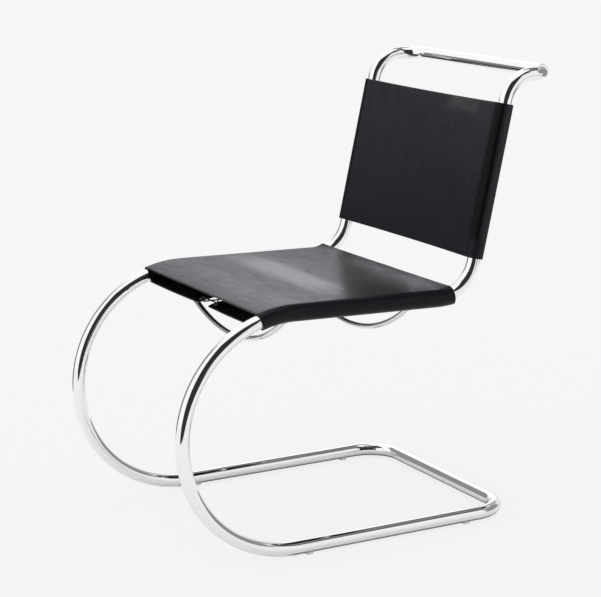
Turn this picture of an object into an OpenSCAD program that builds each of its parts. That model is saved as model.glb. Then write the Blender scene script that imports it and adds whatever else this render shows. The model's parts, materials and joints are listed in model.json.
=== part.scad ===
// Cantilever lounge chair: one bent steel tube in two halves, with leather slings
// laced under the seat and behind the back. Millimetres, +Z up, front towards -Y.
// The origin is on the floor under the middle of the whole chair.

/* [Bent tube] */
// Outer diameter of the tube
tube_d = 24; // [18:1:30]
// Wall of the tube
tube_wall = 2; // [1.5:0.5:3]
// Distance between the axes of the two side tubes
side_spacing = 456; // [400:4:520]
// Radius of the big front hoop, at the tube's axis
hoop_r = 205; // [170:5:230]
// Straight length of each side tube on the floor
base_l = 364; // [320:4:420]
// Radius of the corners of the base
base_corner_r = 64; // [50:2:90]
// Straight length of the seat rail
seat_l = 275; // [240:5:320]
// Fall of the seat rail towards the rear, in degrees
seat_slope = 1.9; // [0:0.1:5]
// Radius of the bend between seat and back
back_bend_r = 74; // [60:2:90]
// Lean of the back from the vertical, in degrees
recline = 13.5; // [8:0.5:18]
// Straight length of the back tube
back_l = 282; // [240:2:320]
// Radius of the bend above the back
top_bend_r = 55; // [45:1:70]
// Rise of the top rail from the horizontal, in degrees
top_rise = 1; // [0:0.5:5]
// Straight length before the top corner
top_l = 2; // [1:1:20]
// Radius of the corners of the top rail
top_corner_r = 40; // [34:1:60]

/* [Joints of the two tube halves] */
// Length of the sleeve inside each joint
sleeve_l = 80; // [60:2:110]
// Bore of the sleeve
sleeve_bore_d = 13; // [10:1:14]
// Slack of the sleeve in the tube, on the radius
sleeve_slack = 0.1; // [0.05:0.05:0.3]
// Distance from the joint's middle to each screw
joint_screw_place = 20; // [12:1:26]
// Diameter of the joint screws
joint_screw_d = 5; // [4:0.5:6]

/* [Floor glides] */
// Height that a glide lifts the tube off the floor
glide_h = 2; // [1.5:0.5:4]
// Diameter of a glide
glide_d = 14; // [10:1:16]
// Diameter of the peg that holds a glide in the tube
glide_peg_d = 6; // [4:0.5:8]
// Height of the peg above the tube's lowest line
glide_peg_l = 5; // [4:0.5:8]
// Distance from each end of the base's straight to a glide
glide_inset = 25; // [15:1:60]

/* [Spreader bars] */
// Diameter of the bowed bars under the seat
bar_d = 10; // [8:1:12]
// Angle below the horizontal at which a bar meets the side tube
bar_dip = 38; // [30:1:42]
// Distance from the rear end of the seat rail to the rear bar
rear_bar_inset = 44; // [30:1:80]
// Slack between a bar's hollowed end and the tube
bar_seat_gap = 0.2; // [0.1:0.05:0.4]
// Diameter of the screws that hold the bars
bar_screw_d = 5; // [4:0.5:6]
// Depth of the screw in the bar
bar_screw_grip = 14; // [10:1:20]

/* [Leather slings] */
// Thickness of the leather
leather_t = 3.2; // [2.4:0.2:4]
// Slack between leather and tube
wrap_slack = 0.3; // [0.2:0.1:1]
// Length of seat leather round the hoop, ahead of the straight rail
seat_front_lead = 67; // [40:1:80]
// Length of seat leather round the bend, behind the straight rail
seat_rear_lead = 37; // [20:1:50]
// Distance from the start of the back's straight to the back leather
back_low_gap = 6; // [2:1:30]
// Distance from the back leather to the end of the back's straight
back_high_gap = 5; // [2:1:30]
// Gap between the two flaps that the lacing closes
lace_gap = 40; // [30:2:60]
// Width of the cut-out that a spreader bar passes through
cutout_w = 15; // [14:0.5:22]

/* [Eyelets and lacing] */
// Number of eyelets along one flap of the seat
seat_eyelet_n = 10; // [6:1:11]
// Number of eyelets along one flap of the back
back_eyelet_n = 8; // [4:1:9]
// Distance from the leather's end to the first eyelet
eyelet_end = 14; // [12:1:20]
// Distance from the flap's edge to the eyelets
eyelet_inset = 10; // [9:1:20]
// Bore of an eyelet
eyelet_bore_d = 5.6; // [5:0.2:7]
// Wall of an eyelet's barrel
eyelet_wall = 0.5; // [0.4:0.1:0.8]
// Width of the flange round an eyelet's barrel
flange_w = 2; // [1.5:0.1:3]
// Thickness of the flange
flange_t = 0.6; // [0.4:0.1:0.8]
// Diameter of the lacing cord
cord_d = 2.8; // [2:0.2:3]

/* [Hidden] */
$fn = 64;

// Overrun of every cut past the face that it opens
cut_over = 1;
// Slack of a screw in its clearance hole, on the radius
screw_slack = 0.25;
// Slack of a peg or an eyelet in its hole, on the radius
hole_slack = 0.1;
// Slack between an eyelet's flange and the leather, for the curved ends of the flaps
flange_slack = 0.15;
// Slack between the cord and what it lies on
cord_slack = 0.3;
// Slack of a glide's top under the tube
glide_slack = 0.1;
// What bending takes off each face of the tube's wall and of the leather
bend_draw = 0.1;
// Length over which a straight and the bend beside it run into each other
bend_lap = 0.5;

tube_r = tube_d / 2;
bore_r = tube_r - tube_wall;
side_x = side_spacing / 2;
base_z = glide_h + tube_r;

// Side view, as [y, z] before centring: the hoop's centre is over y = 0.
function way(angle) = [cos(angle), sin(angle)];
function turn_length(angle, radius) = angle * PI / 180 * radius;
function turn_angle(length, radius) = length / radius * 180 / PI;

hoop_centre = [0, base_z + hoop_r];
rail_start = hoop_centre + hoop_r * way(90 - seat_slope);
rail_end = rail_start + seat_l * way(-seat_slope);
bend_centre = rail_end + back_bend_r * way(90 - seat_slope);
bend_sweep = 90 - recline + seat_slope;
back_start = bend_centre + back_bend_r * way(-recline);
back_end = back_start + back_l * way(90 - recline);
top_centre = back_end + top_bend_r * way(-recline);
top_sweep = 90 - recline - top_rise;
top_start = top_centre + top_bend_r * way(90 + top_rise);
top_end = top_start + top_l * way(top_rise);
top_rail = top_end + top_corner_r * way(top_rise);
base_rail = [base_l + base_corner_r, base_z];
front_glide_y = glide_inset;
rear_glide_y = base_l - glide_inset;

// The chair's depth is centred between the hoop's front and the rearmost rail.
front_y = -hoop_r - tube_r;
rear_y = max(top_rail[0], base_rail[0]) + tube_r;
centre_y = (front_y + rear_y) / 2;

// Stations along the side tube, from the start of the straight seat rail.
bend_station = seat_l;
back_station = seat_l + turn_length(bend_sweep, back_bend_r);
function heading(s) =
  s < 0 ? -seat_slope - turn_angle(s, hoop_r) :
  s < bend_station ? -seat_slope :
  s < back_station ? -seat_slope + turn_angle(s - bend_station, back_bend_r) :
  90 - recline;
function place(s) =
  s < 0 ? hoop_centre + hoop_r * way(90 + heading(s)) :
  s < bend_station ? rail_start + s * way(-seat_slope) :
  s < back_station ? bend_centre - back_bend_r * way(90 + heading(s)) :
  back_start + (s - back_station) * way(90 - recline);
// A point given across the chair, along the tube and above the tube's axis
function spot(x, s, h) =
  let (p = place(s) + h * way(90 + heading(s))) [x, p[0], p[1]];

seat_front_station = -seat_front_lead;
seat_rear_station = bend_station + seat_rear_lead;
back_low_station = back_station + back_low_gap;
back_high_station = back_station + back_l - back_high_gap;
front_bar_station = -turn_length(seat_slope, hoop_r);
rear_bar_station = seat_l - rear_bar_inset;

// Spreader bar: an arc in an upright plane, whose ends point at the tube's axis
bar_r = bar_d / 2;
bar_end_x = side_x - tube_r * cos(bar_dip);
bar_arc_r = bar_end_x / sin(bar_dip);
bar_end_h = -tube_r * sin(bar_dip);
bar_centre_h = bar_end_h + bar_arc_r * cos(bar_dip);
// Half the arc of the blank bar, which is then hollowed to the tube
bar_sweep = bar_dip + turn_angle(tube_r / 2, bar_arc_r);

// Countersunk screws
head_share = 0.92;
socket_share = 0.5;
bar_head_r = bar_screw_d * head_share;
bar_head_reach = sqrt(tube_r * tube_r - bar_head_r * bar_head_r) - screw_slack;
joint_head_r = joint_screw_d * head_share;
joint_head_reach = sqrt(tube_r * tube_r - joint_head_r * joint_head_r) - screw_slack;

// Leather wraps
wrap_in_r = tube_r + wrap_slack;
wrap_out_r = wrap_in_r + leather_t;
flap_h = -(wrap_in_r + wrap_out_r) / 2;
flap_edge_x = lace_gap / 2;
eyelet_x = flap_edge_x + eyelet_inset;
eyelet_r = eyelet_bore_d / 2 + eyelet_wall;
flange_r = eyelet_r + flange_w;
flange_in_h = leather_t / 2 + flange_slack;
flange_out_h = flange_in_h + flange_t;

// Stations of the eyelets along a sling
function eyelet_stations(from, to, n) =
  [for (i = [0:n - 1]) from + eyelet_end + i * (to - from - 2 * eyelet_end) / (n - 1)];
seat_eyelet_stations = eyelet_stations(seat_front_station, seat_rear_station, seat_eyelet_n);
back_eyelet_stations = eyelet_stations(back_low_station, back_high_station, back_eyelet_n);

// Where a bar's upper edge leaves the outer face of the flap, and its lower edge meets the inner face
cutout_in_x = sqrt(pow(bar_arc_r - bar_r, 2) - pow(bar_centre_h + wrap_out_r, 2)) - bar_r * sin(bar_dip);
cutout_out_x = side_x - (tube_r - bar_r) * sin(bar_dip);

// Lacing cord
cord_r = cord_d / 2;
cord_h = flange_out_h + cord_r + cord_slack;
cord_cross_h = cord_r + cord_slack;
cord_tail_l = 5 * cord_d;
cord_sides = 6;

// The tube's section. Every piece of tube is turned to start on the same side of the wall,
// the sitter's on the rails and the floor's on the base, so that its edge meets the next one's.
module ring(seam, draw = 0) rotate(seam) difference() {
  circle(tube_r - draw);
  circle(bore_r + draw);
}

// Moves what is drawn in the side view to the chair's own frame
module centred() translate([0, -centre_y, 0]) children();

// Turns an outline, given as radius and distance across, about a line along X
module turned(centre, from, sweep)
  translate([0, centre[0], centre[1]]) rotate([90, 0, 90]) rotate(from)
    rotate_extrude(angle = sweep) children();

// Puts its children at a station: Y along the tube and Z away from its axis, to the sitter
module at_station(s) {
  p = place(s);
  translate([0, p[0], p[1]]) rotate([heading(s), 0, 0]) children();
}

// Extrudes an outline, given across and above the tube's axis, along a straight between two
// stations, and on by a lap at each end
module run(from, to, lap) at_station(from) translate([0, to - from + lap, 0]) rotate([90, 0, 0])
  linear_extrude(to - from + 2 * lap) children();

// One half of the frame: half the base rail, one side and half the top rail
module half_frame() translate([side_x, 0, 0]) {
  translate([-side_x, base_rail[0], base_rail[1]]) rotate([0, 90, 0])
    linear_extrude(side_x - base_corner_r + bend_lap) ring(0);
  translate([-base_corner_r, base_l, base_z]) rotate_extrude(angle = 90)
    translate([base_corner_r, 0]) ring(-90, bend_draw);
  translate([0, base_l + bend_lap, base_z]) rotate([90, 0, 0])
    linear_extrude(base_l + 2 * bend_lap) ring(-90);
  turned(hoop_centre, 90 - seat_slope, 180 + seat_slope) translate([hoop_r, 0])
    ring(0, bend_draw);
  run(0, seat_l, bend_lap) ring(90);
  turned(bend_centre, -90 - seat_slope, bend_sweep) translate([back_bend_r, 0])
    ring(180, bend_draw);
  run(back_station, back_station + back_l, bend_lap) ring(90);
  turned(top_centre, 90 + top_rise, top_sweep) translate([top_bend_r, 0]) ring(0, bend_draw);
  translate([0, top_start[0], top_start[1]]) rotate([top_rise - 90, 0, 0])
    translate([0, 0, -bend_lap]) linear_extrude(top_l + 2 * bend_lap) ring(-90);
  translate([-top_corner_r, top_end[0], top_end[1]]) rotate([top_rise, 0, 0])
    rotate_extrude(angle = 90) translate([top_corner_r, 0]) ring(90, bend_draw);
  translate([-side_x, top_rail[0], top_rail[1]]) rotate([0, 90, 0])
    linear_extrude(side_x - top_corner_r + bend_lap) ring(180 + top_rise);
}

// Axis of a bar's screw: Z points out of the tube, on the side away from the bar
module on_bar_screw(s) at_station(s) translate([side_x, 0, 0]) rotate([0, 90 - bar_dip, 0])
  children();

// Axis of a joint's screw: Z points down out of the rail
module on_joint_screw(rail, side) translate([side * joint_screw_place, rail[0], rail[1]])
  rotate([180, 0, 0]) children();

// Countersunk screw from its tip to the face of its head; Z = 0 is the tube's axis
module countersunk(shank_r, head_r, reach, tip) rotate_extrude() polygon([
  [0, tip], [shank_r, tip], [shank_r, reach - head_r + shank_r], [head_r, reach], [0, reach]]);

// The hole for such a screw, open past the tube's outer face
module countersink(shank_r, head_r, reach, tip) rotate_extrude() polygon([
  [0, tip], [shank_r, tip], [shank_r, reach - head_r + shank_r], [head_r, reach],
  [head_r, tube_r + cut_over], [0, tube_r + cut_over]]);

module socket(shank_r, reach) translate([0, 0, reach - shank_r * socket_share])
  cylinder(r = shank_r * socket_share, h = shank_r, $fn = 6);

module bar_screw_hole(s) on_bar_screw(s) countersink(bar_screw_d / 2 + screw_slack,
  bar_head_r + screw_slack, bar_head_reach, -tube_r - cut_over);

module joint_screw_hole(rail, side) on_joint_screw(rail, side)
  countersink(joint_screw_d / 2 + screw_slack, joint_head_r + screw_slack, joint_head_reach, 0);

module glide_hole(y) translate([side_x, y, base_z - tube_r - cut_over])
  cylinder(r = glide_peg_d / 2 + hole_slack, h = cut_over + tube_r);

module drilled_half() centred() difference() {
  half_frame();
  bar_screw_hole(front_bar_station);
  bar_screw_hole(rear_bar_station);
  joint_screw_hole(top_rail, 1);
  joint_screw_hole(base_rail, 1);
  glide_hole(front_glide_y);
  glide_hole(rear_glide_y);
}

module left_frame_tube() color("silver") drilled_half();

module right_frame_tube() color("silver") mirror([1, 0, 0]) drilled_half();

// Sleeve pushed half into each tube half, tapped for its two screws
module joint_sleeve(rail) centred() difference() {
  translate([-sleeve_l / 2, rail[0], rail[1]]) rotate([0, 90, 0])
    linear_extrude(sleeve_l) difference() {
      circle(bore_r - sleeve_slack);
      circle(sleeve_bore_d / 2);
    }
  for (side = [-1, 1]) joint_screw_hole(rail, side);
}

module joint_screws(rail) centred() for (side = [-1, 1]) on_joint_screw(rail, side) difference() {
  countersunk(joint_screw_d / 2, joint_head_r, joint_head_reach, sleeve_bore_d / 2);
  socket(joint_screw_d / 2, joint_head_reach);
}

module top_joint_sleeve() color("gray") joint_sleeve(top_rail);
module base_joint_sleeve() color("gray") joint_sleeve(base_rail);
module top_joint_screws() color("silver") joint_screws(top_rail);
module base_joint_screws() color("silver") joint_screws(base_rail);

// Bowed bar, hollowed at each end to sit on the tube and tapped for its screw
module spreader_bar(s) centred() difference() {
  at_station(s) translate([0, 0, bar_centre_h]) rotate([90, 0, 0]) rotate(-90 - bar_sweep)
    rotate_extrude(angle = 2 * bar_sweep) translate([bar_arc_r, 0]) circle(bar_r);
  for (side = [0, 1]) mirror([side, 0, 0]) {
    at_station(s) translate([side_x, 0, 0]) rotate([90, 0, 0])
      cylinder(r = tube_r + bar_seat_gap, h = 2 * bar_d, center = true);
    on_bar_screw(s) translate([0, 0, -tube_r - bar_screw_grip - cut_over])
      cylinder(r = bar_screw_d / 2 + screw_slack, h = bar_screw_grip + tube_r);
  }
}

module spreader_screws(s) centred() for (side = [0, 1]) mirror([side, 0, 0])
  on_bar_screw(s) difference() {
    countersunk(bar_screw_d / 2, bar_head_r, bar_head_reach, -tube_r - bar_screw_grip);
    socket(bar_screw_d / 2, bar_head_reach);
  }

module front_spreader_bar() color("silver") spreader_bar(front_bar_station);
module rear_spreader_bar() color("silver") spreader_bar(rear_bar_station);
module front_spreader_screws() color("dimgray") spreader_screws(front_bar_station);
module rear_spreader_screws() color("dimgray") spreader_screws(rear_bar_station);

// Outline of a sling: the sheet towards the sitter, a wrap round each tube and two flaps
module sling_outline(draw = 0) {
  translate([-side_x, wrap_in_r + draw]) square([side_spacing, leather_t - 2 * draw]);
  for (side = [0, 1]) mirror([side, 0]) {
    translate([side_x, 0]) difference() {
      circle(wrap_out_r - draw);
      circle(wrap_in_r + draw);
      translate([-2 * wrap_out_r, -wrap_out_r]) square(2 * wrap_out_r);
    }
    translate([flap_edge_x + draw, draw - wrap_out_r])
      square([side_x - flap_edge_x - draw, leather_t - 2 * draw]);
  }
}

module eyelet_holes(stations) for (s = stations, side = [-1, 1])
  at_station(s) translate([side * eyelet_x, 0, flap_h])
    cylinder(r = eyelet_r + hole_slack, h = 2 * leather_t, center = true);

// Cut-outs through which a bar leaves the seat leather
module bar_cutouts(s) at_station(s) for (side = [-1, 1])
  translate([side * (cutout_in_x + cutout_out_x) / 2, 0, flap_h])
    cube([cutout_out_x - cutout_in_x, cutout_w, 2 * leather_t], center = true);

module seat_sling() color([0.16, 0.16, 0.18]) centred() difference() {
  union() {
    turned(hoop_centre, 90 - seat_slope, turn_angle(seat_front_lead, hoop_r))
      translate([hoop_r, 0]) rotate(-90) sling_outline(bend_draw);
    run(0, seat_l, bend_lap) sling_outline();
    turned(bend_centre, -90 - seat_slope, turn_angle(seat_rear_lead, back_bend_r))
      translate([back_bend_r, 0]) rotate(90) sling_outline(bend_draw);
  }
  eyelet_holes(seat_eyelet_stations);
  bar_cutouts(front_bar_station);
  bar_cutouts(rear_bar_station);
}

module back_sling() color([0.16, 0.16, 0.18]) centred() difference() {
  run(back_low_station, back_high_station, 0) sling_outline();
  eyelet_holes(back_eyelet_stations);
}

// One rolled eyelet: a barrel with a flange on each face of the flap
module eyelet() rotate_extrude() {
  translate([eyelet_bore_d / 2, -flange_out_h]) square([eyelet_wall, 2 * flange_out_h]);
  for (h = [flange_in_h, -flange_out_h])
    translate([eyelet_bore_d / 2, h]) square([eyelet_wall + flange_w, flange_t]);
}

module eyelet_row(stations, side) centred() for (s = stations)
  at_station(s) translate([side * eyelet_x, 0, flap_h]) eyelet();

module seat_eyelets_left() color("lightgray") eyelet_row(seat_eyelet_stations, 1);
module seat_eyelets_right() color("lightgray") eyelet_row(seat_eyelet_stations, -1);
module back_eyelets_left() color("lightgray") eyelet_row(back_eyelet_stations, 1);
module back_eyelets_right() color("lightgray") eyelet_row(back_eyelet_stations, -1);

// Passage of the cord through an eyelet, as shares of cord_h: [back from the eyelet's axis, height]
passage_shares = [[1.3, 1], [0.45, 0.92], [0.04, 0.5], [0.04, -0.5], [0.45, -0.92], [1.3, -1]];
// A diagonal between two eyelets: [share of the way across, share of the height at the crossing]
diagonal_shares = [[0.3, 0.5], [0.5, 1], [0.7, 0.5]];

// Points of one passage, from inside the sling to outside, on the side given as -1 or 1
function passage(side, s) = [for (p = passage_shares)
  spot(side * (eyelet_x - p[0] * cord_h), s, flap_h + p[1] * cord_h)];

// Points of one diagonal, from outside at one eyelet to inside at the next one opposite
function diagonal(side, s, next_s, level) = [for (p = diagonal_shares)
  spot(side * (1 - 2 * p[0]) * (eyelet_x - passage_shares[0][0] * cord_h),
    s + p[0] * (next_s - s),
    flap_h + (2 * p[0] - 1) * cord_h + level * p[1] * cord_cross_h)];

// Half of the lacing, from the first eyelet of one side to a short tail at the last
function strand(stations, first) = let (n = len(stations)) [
  for (i = [0:n - 1])
    let (side = i % 2 == 0 ? first : -first)
      each concat(
        passage(side, stations[i]),
        i < n - 1 ? diagonal(side, stations[i], stations[i + 1], first) :
          [spot(side * (eyelet_x - cord_h - cord_tail_l), stations[i] + side * cord_d,
            flap_h - cord_h)])];

function backwards(list) = [for (i = [len(list) - 1:-1:0]) list[i]];
function unit(v) = v / norm(v);

// The whole route: in along one half, across inside the sling, and out along the other
function lacing(stations) = concat(backwards(strand(stations, -1)), strand(stations, 1));

// A tube of triangles along a route whose runs are never parallel to the tube of the frame
module cord(route) {
  n = len(route);
  rings = [for (i = [0:n - 1])
    let (
      t = unit(route[min(i + 1, n - 1)] - route[max(i - 1, 0)]),
      u = unit(cross([0, 1, 0], t)),
      v = cross(t, u))
    for (k = [0:cord_sides - 1])
      let (a = 360 * k / cord_sides)
        route[i] + cord_r * (cos(a) * u + sin(a) * v)];
  skin = [for (i = [0:n - 2], k = [0:cord_sides - 1])
    let (a = i * cord_sides + k, b = i * cord_sides + (k + 1) % cord_sides)
      each [[a, a + cord_sides, b], [b, a + cord_sides, b + cord_sides]]];
  caps = [for (k = [1:cord_sides - 2])
    each [[0, k, k + 1],
      [(n - 1) * cord_sides, (n - 1) * cord_sides + k + 1, (n - 1) * cord_sides + k]]];
  polyhedron(rings, concat(skin, caps));
}

module seat_lacing_cord() color([0.1, 0.1, 0.1]) centred() cord(lacing(seat_eyelet_stations));
module back_lacing_cord() color([0.1, 0.1, 0.1]) centred() cord(lacing(back_eyelet_stations));

// Low glide: a pad under the tube, hollowed to fit it, with a peg pressed into its hole
module glide(side, y) centred() translate([side * side_x, y, 0]) {
  difference() {
    cylinder(r = glide_d / 2, h = base_z);
    translate([0, 0, base_z]) rotate([90, 0, 0])
      cylinder(r = tube_r + glide_slack, h = 2 * glide_d, center = true);
  }
  translate([0, 0, glide_h / 2]) cylinder(r = glide_peg_d / 2, h = glide_h / 2 + glide_peg_l);
}

module front_left_glide() color("gainsboro") glide(1, front_glide_y);
module front_right_glide() color("gainsboro") glide(-1, front_glide_y);
module rear_left_glide() color("gainsboro") glide(1, rear_glide_y);
module rear_right_glide() color("gainsboro") glide(-1, rear_glide_y);

left_frame_tube();
right_frame_tube();
top_joint_sleeve();
base_joint_sleeve();
top_joint_screws();
base_joint_screws();
front_spreader_bar();
rear_spreader_bar();
front_spreader_screws();
rear_spreader_screws();
seat_sling();
back_sling();
seat_eyelets_left();
seat_eyelets_right();
back_eyelets_left();
back_eyelets_right();
seat_lacing_cord();
back_lacing_cord();
front_left_glide();
front_right_glide();
rear_left_glide();
rear_right_glide();
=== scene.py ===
import json
import math

import bpy
from mathutils import Matrix, Vector, noise


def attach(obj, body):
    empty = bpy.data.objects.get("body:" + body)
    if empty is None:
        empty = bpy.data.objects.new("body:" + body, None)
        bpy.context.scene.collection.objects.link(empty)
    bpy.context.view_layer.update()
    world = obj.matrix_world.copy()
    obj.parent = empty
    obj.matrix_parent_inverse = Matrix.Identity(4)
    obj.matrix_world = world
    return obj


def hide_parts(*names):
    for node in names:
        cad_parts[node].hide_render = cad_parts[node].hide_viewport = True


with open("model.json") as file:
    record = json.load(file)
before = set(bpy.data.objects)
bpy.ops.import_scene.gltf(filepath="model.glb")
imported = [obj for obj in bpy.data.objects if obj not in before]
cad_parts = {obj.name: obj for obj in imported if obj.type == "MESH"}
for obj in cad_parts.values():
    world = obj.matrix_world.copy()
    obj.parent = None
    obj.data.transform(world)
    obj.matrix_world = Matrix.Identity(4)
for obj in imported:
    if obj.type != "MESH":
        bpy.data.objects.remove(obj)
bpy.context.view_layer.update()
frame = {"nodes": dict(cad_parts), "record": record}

BODY = "root"

# The chair's own sizes, in metres, as the CAD model has them
TUBE_R = 0.012
SIDE_X = 0.228
BASE_Z = 0.014
HOOP_R = 0.205
BASE_L, BASE_CORNER_R = 0.364, 0.064
SEAT_L, SEAT_SLOPE = 0.275, 1.9
BACK_BEND_R, RECLINE, BACK_L = 0.074, 13.5, 0.282
TOP_BEND_R, TOP_RISE, TOP_L, TOP_CORNER_R = 0.055, 1.0, 0.002, 0.040
LEATHER_T, WRAP_SLACK = 0.0032, 0.0003
LACE_GAP, EYELET_INSET = 0.040, 0.010
SEAT_FRONT_LEAD, SEAT_REAR_LEAD = 0.067, 0.037
BACK_LOW_GAP, BACK_HIGH_GAP = 0.006, 0.005
BAR_R, BAR_DIP, REAR_BAR_INSET = 0.005, 38.0, 0.044
EYELET_BORE_R, EYELET_R, FLANGE_W, FLANGE_T = 0.0028, 0.0033, 0.002, 0.0006
EYELET_END, SEAT_EYELETS, BACK_EYELETS = 0.014, 10, 8
CORD_R, CORD_SLACK = 0.0014, 0.0003
BORE_R, GLIDE_INSET, PEG_R = 0.010, 0.025, 0.0031
SCREW_R, SCREW_SLACK, HEAD_SHARE, JOINT_SCREW_X = 0.0025, 0.00025, 0.92, 0.020
BAR_SEAT_GAP, BAR_GRIP, SLOT_W = 0.0002, 0.014, 0.015
# Details that only this model has
JOINT_CHAMFER = 0.0003
JOINT_ROWS = (JOINT_CHAMFER, 0.012, 0.028)  # rows of points near a joint of the tube
OVER = 0.001  # how far a cutting shape reaches past what it cuts
TUBE_SIDES, BAR_SIDES, BAR_STEPS = 64, 32, 96
SCREW_SIDES, PEG_SIDES, BAR_SCREW_SIDES, EYELET_SIDES, CORD_SIDES = 40, 32, 24, 28, 18
SEAT_CROWN, CROWN_STATION = 0.0018, 0.145
BACK_SAG, BACK_NECK, FLAP_NECK = 0.001, 0.0014, 0.0008
SHEET_BRIDGE, FLAP_BRIDGE = 0.6, 0.35  # shares of the rear bend that the stiff leather doesn't follow
FREE_FROM, FREE_RUN = 0.035, 0.11  # over which a flap comes free of the lacing, from its edge
REAR_DRAW, CORNER_DRAW, REAR_RUN = 0.011, 0.005, 0.01  # how the seat's rear edge is drawn in at the tubes
LACED_W, EDGE_SCALLOP, EYELET_LIFT = 0.05, 0.0011, 0.0005  # how each eyelet pulls at its flap
FLAP_WAVE, SEAT_WAVE, BACK_WAVE = 0.0004, 0.0005, 0.0006  # how uneven the leather is
EDGE_STEPS, EDGE_ROUND = [0, 0.00015, 0.0004, 0.0008], 0.0007  # rows of points and radius of a cut edge
SHEET_STEP, FLAP_ROWS, WRAP_ROWS, SHEET_ROWS = 0.0045, 48, 40, 44
HOLE_SLACK, SLOT_CORNER_R, FLANGE_GAP = 0.0001, 0.0035, 0.00015
CORD_STEP, CORD_LAY, PLY_DEPTH = 0.0009, 0.0075, 0.16


def way(angle):
    return Vector((math.cos(math.radians(angle)), math.sin(math.radians(angle))))


def turn(length, radius):
    return math.degrees(length / radius)


# Side view, as (y, z) before the depth is centred
hoop_centre = Vector((0, BASE_Z + HOOP_R))
rail_start = hoop_centre + HOOP_R * way(90 - SEAT_SLOPE)
rail_end = rail_start + SEAT_L * way(-SEAT_SLOPE)
bend_centre = rail_end + BACK_BEND_R * way(90 - SEAT_SLOPE)
back_start = bend_centre + BACK_BEND_R * way(-RECLINE)
back_end = back_start + BACK_L * way(90 - RECLINE)
top_centre = back_end + TOP_BEND_R * way(-RECLINE)
top_start = top_centre + TOP_BEND_R * way(90 + TOP_RISE)
top_end = top_start + TOP_L * way(TOP_RISE)
top_rail = top_end + TOP_CORNER_R * way(TOP_RISE)
CENTRE_Y = (top_rail[0] - HOOP_R) / 2

BACK_STATION = SEAT_L + math.radians(90 - RECLINE + SEAT_SLOPE) * BACK_BEND_R


def heading(s):
    if s < 0:
        return -SEAT_SLOPE - turn(s, HOOP_R)
    if s < SEAT_L:
        return -SEAT_SLOPE
    if s < BACK_STATION:
        return -SEAT_SLOPE + turn(s - SEAT_L, BACK_BEND_R)
    return 90 - RECLINE


def place(s):
    if s < 0:
        return hoop_centre + HOOP_R * way(90 + heading(s))
    if s < SEAT_L:
        return rail_start + s * way(-SEAT_SLOPE)
    if s < BACK_STATION:
        return bend_centre - BACK_BEND_R * way(90 + heading(s))
    return back_start + (s - BACK_STATION) * way(90 - RECLINE)


def spot(x, s, h):
    """A point across the chair, along the side tube and above its axis, to the sitter."""
    p = place(s) + h * way(90 + heading(s))
    return Vector((x, p[0] - CENTRE_Y, p[1]))


SEAT_FROM, SEAT_TO = -SEAT_FRONT_LEAD, SEAT_L + SEAT_REAR_LEAD
BACK_FROM, BACK_TO = BACK_STATION + BACK_LOW_GAP, BACK_STATION + BACK_L - BACK_HIGH_GAP
BASE_REAR = BASE_L + BASE_CORNER_R - CENTRE_Y
FRONT_BAR_STATION = -math.radians(SEAT_SLOPE) * HOOP_R
REAR_BAR_STATION = SEAT_L - REAR_BAR_INSET
BAND_Y = place(0.106)[0] - CENTRE_Y  # middle of the polished band across the seat
BACK_TOP = place(BACK_TO)[1]
FLAP_H = -(TUBE_R + WRAP_SLACK + LEATHER_T / 2)
FLAP_L = SIDE_X - LACE_GAP / 2
EYELET_X = LACE_GAP / 2 + EYELET_INSET
CORD_H = LEATHER_T / 2 + FLANGE_GAP + FLANGE_T + CORD_R + CORD_SLACK


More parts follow.
